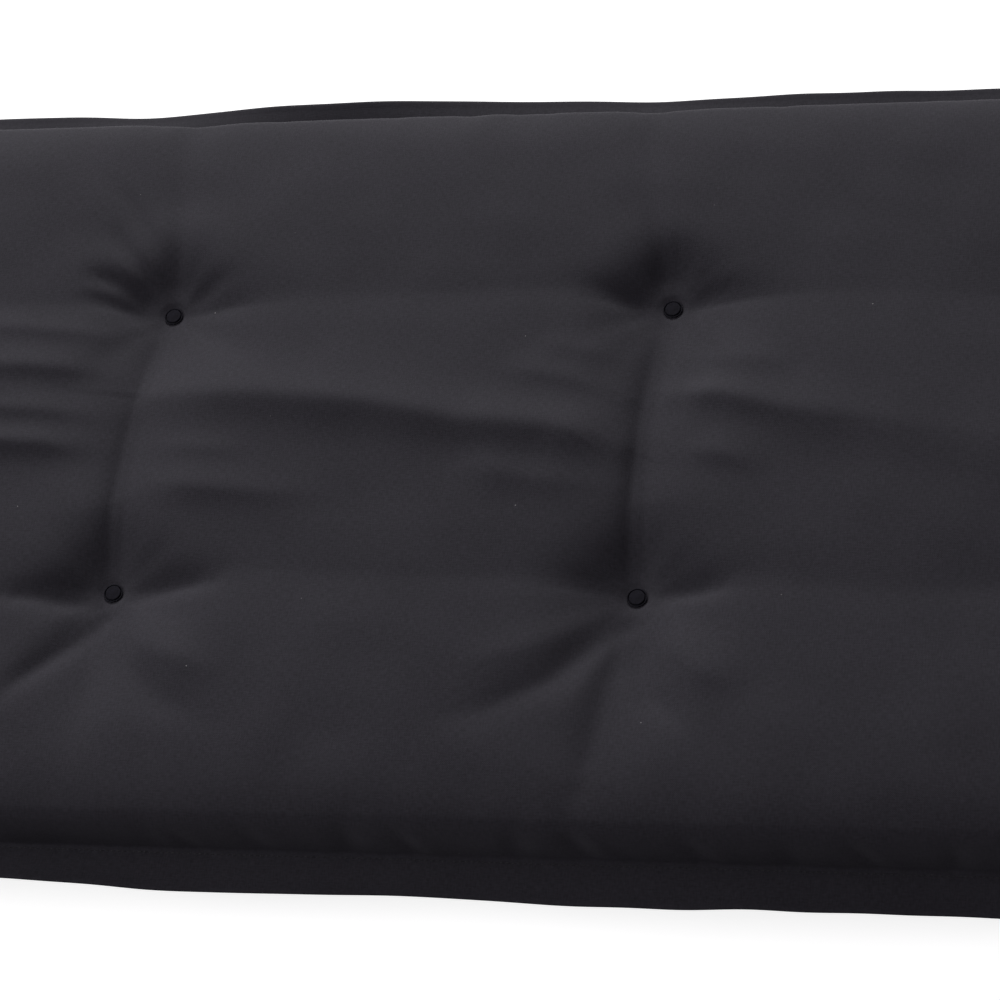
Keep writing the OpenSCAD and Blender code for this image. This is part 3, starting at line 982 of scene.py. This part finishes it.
@dataclass
class FlangeStitching:
    """Lock-stitch along the flange, one thread for each stitch on both faces."""

    form: PadForm
    name: str = "flange_stitches"
    stitch_pitch: float = 4.2
    stitch_length: float = 3.3
    thread_r: float = 0.38
    offset: float = 2.5
    arch: float = 0.3
    sunk: float = 0.1

    def centres(self) -> tuple[Array, Array]:
        """Middles and headings of the stitches along the closed line round the body."""
        s = self.form.sizes
        half_l, half_w = s.half_l + self.offset, s.half_w + self.offset
        places, headings = [], []
        for (ax, ay), (bx, by) in (
            ((-half_l, -half_w), (half_l, -half_w)), ((half_l, -half_w), (half_l, half_w)),
            ((half_l, half_w), (-half_l, half_w)), ((-half_l, half_w), (-half_l, -half_w)),
        ):
            run = math.hypot(bx - ax, by - ay)
            at = (np.arange(round(run / self.stitch_pitch)) + 0.5) / round(run / self.stitch_pitch)
            places.append(np.column_stack([ax + at * (bx - ax), ay + at * (by - ay)]))
            headings.append(np.tile([(bx - ax) / run, (by - ay) / run], (len(at), 1)))
        return np.vstack(places), np.vstack(headings)

    def build(self) -> bpy.types.Object:
        """Makes the stitches: each is a short arched tube of round section."""
        middles, headings = self.centres()
        around, along = 6, 6
        t = np.linspace(-1.0, 1.0, along)
        a = np.linspace(0.0, 2.0 * math.pi, around, endpoint=False)
        radius = self.thread_r * np.sqrt(np.maximum(1.0 - t**4, 0.02))
        arch = self.arch * (1.0 - t**2)
        all_points, all_quads = [], []
        for side in Side:
            tx = middles[:, None, 0] + headings[:, None, 0] * t * self.stitch_length / 2
            ty = middles[:, None, 1] + headings[:, None, 1] * t * self.stitch_length / 2
            sx, sy = self.form.flange_shift(tx, ty)
            mid, half = self.form.flange_mid(tx, ty), self.form.flange_thickness(tx, ty)
            z = mid + side.value * (half + arch - self.sunk)
            x = (tx + sx)[:, :, None] - headings[:, 1, None, None] * radius[:, None] * np.cos(a)
            y = (ty + sy)[:, :, None] + headings[:, 0, None, None] * radius[:, None] * np.cos(a)
            height = z[:, :, None] + radius[:, None] * np.sin(a)
            all_points.append(np.stack([x, y, height], axis=3).reshape(-1, 3))
        count = len(middles)
        ring = np.arange(around)
        k = np.arange(along - 1)[:, None]
        tube = np.stack([k * around + ring, (k + 1) * around + ring,
                         (k + 1) * around + np.roll(ring, -1), k * around + np.roll(ring, -1)], axis=2)
        caps = np.array([[0, 1, 2, 3], [0, 3, 4, 5]])
        last = caps + (along - 1) * around
        one = np.vstack([tube.reshape(-1, 4)[:, ::-1], caps[:, ::-1], last])
        step = np.arange(2 * count)[:, None, None] * (around * along)
        quads = (one[None] + step).reshape(-1, 4)
        piece = mesh_object(self.name, np.vstack(all_points), quads)
        dress(piece, SEWING_THREAD.material())
        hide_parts("flange_stitching")
        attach(piece, "root")
        LOG.info("%s: %d stitches", self.name, 2 * count)
        return piece


@dataclass
class CoveredButtons:
    """The twenty cloth-covered buttons: a flat face, a narrow gap, and a rim where the cloth is gathered."""

    form: PadForm
    around: int = 64

    def profile(self) -> Array:
        """Half-section of a button from the middle of its face to the middle of its back.

        A flat middle, which covers the back plate, turns down over a tight shoulder into a narrow
        gap. On its far side the gathered cloth stands up in a low rolled rim.
        """
        radius = np.append(np.linspace(0.3, 5.2, 10), 5.45)
        face = np.column_stack([radius, 1.8 - 0.2 * (radius / 5.5) ** 2])
        shoulder = np.array([[5.58, 1.57], [5.68, 1.5], [5.72, 1.38], [5.74, 0.5]])
        gap = np.array([[5.78, 0.3], [5.9, 0.18], [6.2, 0.14], [6.45, 0.2], [6.58, 0.4], [6.62, 0.6]])
        turn = np.linspace(1.0, -0.5, 9) * math.pi
        rim = np.column_stack([7.05 + 0.42 * np.cos(turn), 0.7 + 0.4 * np.sin(turn)])
        back = np.array([[6.9, 0.1], [4.5, 0.06], [2.0, 0.06], [0.3, 0.06]])
        return np.vstack([face, shoulder, gap, rim, back])

    def mesh_points(self, centre: Point, seat: float, side: Side, seed: int) -> Array:
        """Places of one button: the profile turned round its axis, a little tilted, with a pleated rim."""
        profile = self.profile()
        angle = np.linspace(0.0, 2.0 * math.pi, self.around, endpoint=False)
        rng = np.random.default_rng(seed)
        pleats = sum(np.cos(n * angle + rng.uniform(0, 2 * math.pi)) for n in (11, 17, 23)) / 3.0
        rim = np.clip((profile[:, 0] - 6.5) / 0.6, 0.0, 1.0)
        reach = profile[:, 0, None] + 0.22 * rim[:, None] * pleats[None]
        tilt = 0.02 * np.cos(angle + rng.uniform(0, 2 * math.pi)) + 0.06 * np.sin(angle)
        up = profile[:, 1, None] + profile[:, 0, None] * tilt[None]
        x = centre[0] + reach * np.cos(angle)
        y = centre[1] + reach * np.sin(angle)
        return np.stack([x, y, seat + side.value * up], axis=2).reshape(-1, 3)

    def quads(self, rows: int, side: Side) -> Array:
        """Quads between the turned profile's rings, with both poles closed by fans of quads."""
        ring = np.arange(self.around)
        k = np.arange(rows - 1)[:, None]
        after = np.roll(ring, -1)
        wall = np.stack([k * self.around + ring, (k + 1) * self.around + ring,
                         (k + 1) * self.around + after, k * self.around + after], axis=2).reshape(-1, 4)
        i = np.arange(1, self.around // 2)
        pole = np.column_stack([i - 1, i, self.around - 1 - i, (self.around - i) % self.around])
        far = pole[:, ::-1] + (rows - 1) * self.around
        quads = np.vstack([wall, pole, far])
        return quads if side is Side.TOP else quads[:, ::-1]

    def build(self) -> list[bpy.types.Object]:
        """Makes all the buttons on the seats of the frame."""
        s = self.form.sizes
        # The button cloth's darker colour is painted shade of the pits.
        cloth = BUTTON_CLOTH_PAINTED_SHADE.material()
        made = []
        for side, word, seat in ((Side.TOP, "top", s.top_seat), (Side.UNDER, "under", s.under_seat)):
            for k, column in enumerate(s.columns):
                for row, y in (("front", -s.row), ("rear", s.row)):
                    node = f"{word}_button_{row}_{k + 1}"
                    points = self.mesh_points((column, y), seat, side, 7 * k + int(y > 0) + 50)
                    quads = self.quads(len(self.profile()), side)
                    flat = points[:, :2] - [column, y]
                    piece = mesh_object(f"covered_{node}", points, quads, flat)
                    dress(piece, cloth)
                    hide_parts(node)
                    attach(piece, "root")
                    made.append(piece)
        LOG.info("covered buttons: %d", len(made))
        return made


@dataclass
class Filling:
    """The batts of wadding, fitted inside the panels, and the finish of the inner CAD pieces."""

    form: PadForm
    top_panel: CoverPanel
    under_panel: CoverPanel
    clearance: float = 4.0
    step: int = 3

    def batt(self, panel: CoverPanel, node: str) -> bpy.types.Object:
        """Makes one batt: the panel's own face, set in along its normals, with the core's pocket behind."""
        s, side = self.form.sizes, panel.side.value
        core_z = (s.core_high if side > 0 else s.core_low)[2] + 0.3 * side
        face = panel.skin - surface_normals(panel.skin) * side * self.clearance
        depth_x, depth_y = self.form.depths(panel.skin[:, :, 0], panel.skin[:, :, 1])
        keep_x = np.flatnonzero(depth_x[:, depth_x.shape[1] // 2] > 4.0)[:: self.step]
        keep_y = np.flatnonzero(depth_y[depth_y.shape[0] // 2] > 4.0)[:: self.step]
        face = face[np.ix_(keep_x, keep_y)]
        x, y = face[:, :, 0], face[:, :, 1]
        pocket = np.minimum(s.core_high[0] - np.abs(x), s.core_high[1] - np.abs(y))
        back = s.seam_z + (core_z - s.seam_z) * np.clip(pocket / 4.0 + 1.0, 0.0, 1.0)
        face[:, :, 2] = side * np.maximum(side * face[:, :, 2], side * back + 0.4)
        inner = np.stack([x, y, back], axis=2)
        piece = shell_object(f"{node}_batt", face, inner, face[:, :, :2], up=side > 0)
        dress(piece, SPUN_WADDING.material())
        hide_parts(node)
        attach(piece, "root")
        LOG.info("%s: %d faces", piece.name, len(piece.data.polygons))
        return piece

    def build(self) -> None:
        """Makes both batts and dresses the core, the twine and the button backs."""
        self.batt(self.top_panel, "upper_wadding")
        self.batt(self.under_panel, "lower_wadding")
        foam, twine, zinc = OPEN_FOAM.material(), FLAX_TWINE.material(), ZINC.material()
        for node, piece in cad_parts.items():
            if node == "foam_core":
                dress(piece, foam)
            elif node.startswith("tuft_twine"):
                dress(piece, twine)
            elif node.endswith("backs"):
                dress(piece, zinc)


# ---------------------------------------------------------------------------------------------
# Studio
# ---------------------------------------------------------------------------------------------


@dataclass
class Studio:
    """A plain pale floor, soft light from behind and from the left, and the camera."""

    elevation: float = 56.0
    azimuth: float = 26.6
    roll: float = -22.5
    lens: float = 114.9
    distance: float = 2.39
    target: tuple[float, float, float] = (-0.121, -0.026, 0.038)

    def camera(self) -> bpy.types.Object:
        """Places the camera by its elevation, azimuth and roll about the target."""
        a, e, r = (math.radians(v) for v in (self.azimuth, self.elevation, self.roll))
        back = Vector((math.sin(a) * math.cos(e), -math.cos(a) * math.cos(e), math.sin(e)))
        right = (-back).cross(Vector((0.0, 0.0, 1.0))).normalized()
        up = right.cross(-back)
        side = right * math.cos(r) + up * math.sin(r)
        over = up * math.cos(r) - right * math.sin(r)
        data = bpy.data.cameras.new("camera")
        data.lens, data.sensor_width = self.lens, 36.0
        made = bpy.data.objects.new("camera", data)
        made.matrix_world = (Matrix.Translation(Vector(self.target) + back * self.distance)
                             @ Matrix((side, over, back)).transposed().to_4x4())
        bpy.context.scene.collection.objects.link(made)
        bpy.context.scene.camera = made
        return made

    def lamp(self, name: str, place: tuple[float, float, float], size: float, watts: float) -> None:
        """Hangs a square soft box at a place in metres, turned to the mattress."""
        data = bpy.data.lights.new(name, "AREA")
        data.shape, data.size, data.energy = "SQUARE", size, watts
        made = bpy.data.objects.new(name, data)
        made.location = place
        made.rotation_mode = "QUATERNION"
        made.rotation_quaternion = (Vector(place) - Vector((0.0, 0.0, 0.05))).to_track_quat("Z", "Y")
        bpy.context.scene.collection.objects.link(made)

    def backdrop(self) -> None:
        """Lays the floor: matt pale card that the camera sees as white, with the object's shadow."""
        mesh = bpy.data.meshes.new("floor")
        half = 12.0
        mesh.from_pydata([(-half, -half, 0), (half, -half, 0), (half, half, 0), (-half, half, 0)],
                         [], [(0, 1, 2, 3)])
        floor = bpy.data.objects.new("floor", mesh)
        bpy.context.scene.collection.objects.link(floor)
        material, tree = blank_material("pale_card_floor")
        path = add_node(tree, "ShaderNodeLightPath")
        seen = path.outputs["Is Camera Ray"]
        for output in ("Is Glossy Ray", "Is Transmission Ray"):
            seen = add_node(tree, "ShaderNodeMath", {"operation": "MAXIMUM"},
                            {0: seen, 1: path.outputs[output]}).outputs[0]
        card = add_node(tree, "ShaderNodeBsdfDiffuse", inputs={"Color": linear("#c8c8c8")}).outputs[0]
        dull = add_node(tree, "ShaderNodeBsdfDiffuse", inputs={"Color": linear("#606060")}).outputs[0]
        glow = add_node(tree, "ShaderNodeEmission", inputs={"Strength": 0.83}).outputs[0]
        pale = add_node(tree, "ShaderNodeAddShader", inputs={0: card, 1: glow}).outputs[0]
        mixed = add_node(tree, "ShaderNodeMixShader", inputs={0: seen, 1: dull, 2: pale}).outputs[0]
        add_node(tree, "ShaderNodeOutputMaterial", inputs={"Surface": mixed})
        mesh.materials.append(material)

    def world(self) -> None:
        """Fills the room with soft grey light, and shows white to the camera."""
        world = bpy.data.worlds.new("room")
        bpy.context.scene.world = world
        world.use_nodes = True
        tree = world.node_tree
        tree.nodes.clear()
        path = add_node(tree, "ShaderNodeLightPath").outputs["Is Camera Ray"]
        soft = add_node(tree, "ShaderNodeBackground", inputs={
            "Color": linear("#e8e4e9"), "Strength": 0.28}).outputs[0]
        white = add_node(tree, "ShaderNodeBackground", inputs={
            "Color": linear("#ffffff"), "Strength": 1.0}).outputs[0]
        mixed = add_node(tree, "ShaderNodeMixShader", inputs={0: path, 1: soft, 2: white}).outputs[0]
        add_node(tree, "ShaderNodeOutputWorld", inputs={"Surface": mixed})

    def build(self) -> None:
        """Sets up the whole studio."""
        self.camera()
        self.backdrop()
        self.world()
        self.lamp("soft_box_rear", (-2.8, 9.7, 4.3), 4.0, 1230.0)
        self.lamp("soft_box_left", (-2.4, -0.5, 2.0), 1.6, 32.0)
        bpy.context.scene.view_settings.view_transform = "Standard"


def main() -> None:
    """Builds the mattress piece by piece and sets up the studio."""
    logging.basicConfig(level=logging.INFO, format="%(name)s: %(message)s")
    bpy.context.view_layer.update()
    form = PadForm(PadSizes.from_frame())
    folds = list(PLACED_FOLDS) + scattered_folds(form.sizes, seed=5)
    top = CoverPanel(form, Side.TOP, "top_cover", "cover_top_panel", pitch=2.7, folds=folds)
    under = CoverPanel(form, Side.UNDER, "under_cover", "cover_under_panel", pitch=3.9,
                       gathers=Gathers(seed=80, depth=1.8))
    top.build()
    under.build()
    FlangeStitching(form).build()
    CoveredButtons(form).build()
    Filling(form, top, under).build()
    Studio().build()


if __name__ == "__main__":
    main()
